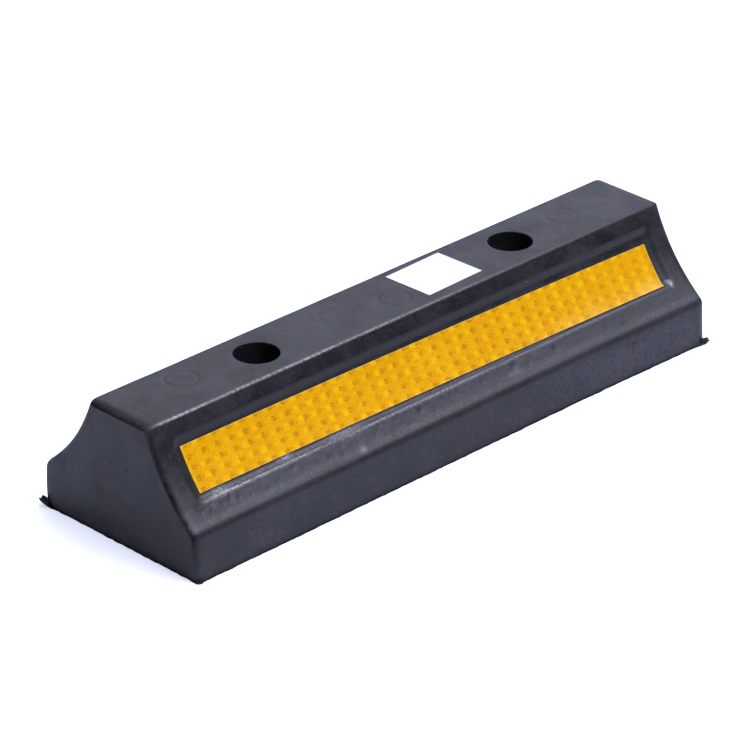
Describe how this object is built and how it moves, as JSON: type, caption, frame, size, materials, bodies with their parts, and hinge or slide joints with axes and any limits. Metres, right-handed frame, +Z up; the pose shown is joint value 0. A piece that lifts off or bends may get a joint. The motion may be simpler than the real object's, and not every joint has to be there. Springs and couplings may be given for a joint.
{
  "type": "parking wheel stop",
  "caption": "Low rubber bar that stops a car's wheel in a parking bay, with a reflective strip on each slope and two stepped holes for ground anchors.",
  "frame": {"origin": "on the ground, under the middle of the bar", "axes": "+X along the bar, +Y from the front slope to the rear slope, +Z up"},
  "size_m": [0.513, 0.161, 0.0987],
  "materials": {
    "rubber": "moulded black rubber with a satin sheen, faint mottling and small pits",
    "washer_steel": "zinc-plated, dull",
    "backing_film": "off-white film, seen only as a thin cut edge",
    "lens_film": "amber prismatic film with a square lattice of cells",
    "label_paper": "blank white paper, matt"
  },
  "bodies": {
    "root": {"rubber_body": "rubber", "left_bolt_washer": "washer_steel", "right_bolt_washer": "washer_steel", "front_reflector_backing": "backing_film", "front_reflector_lens": "lens_film", "rear_reflector_backing": "backing_film", "rear_reflector_lens": "lens_film", "paper_label": "label_paper"}
  },
  "joints": []
}
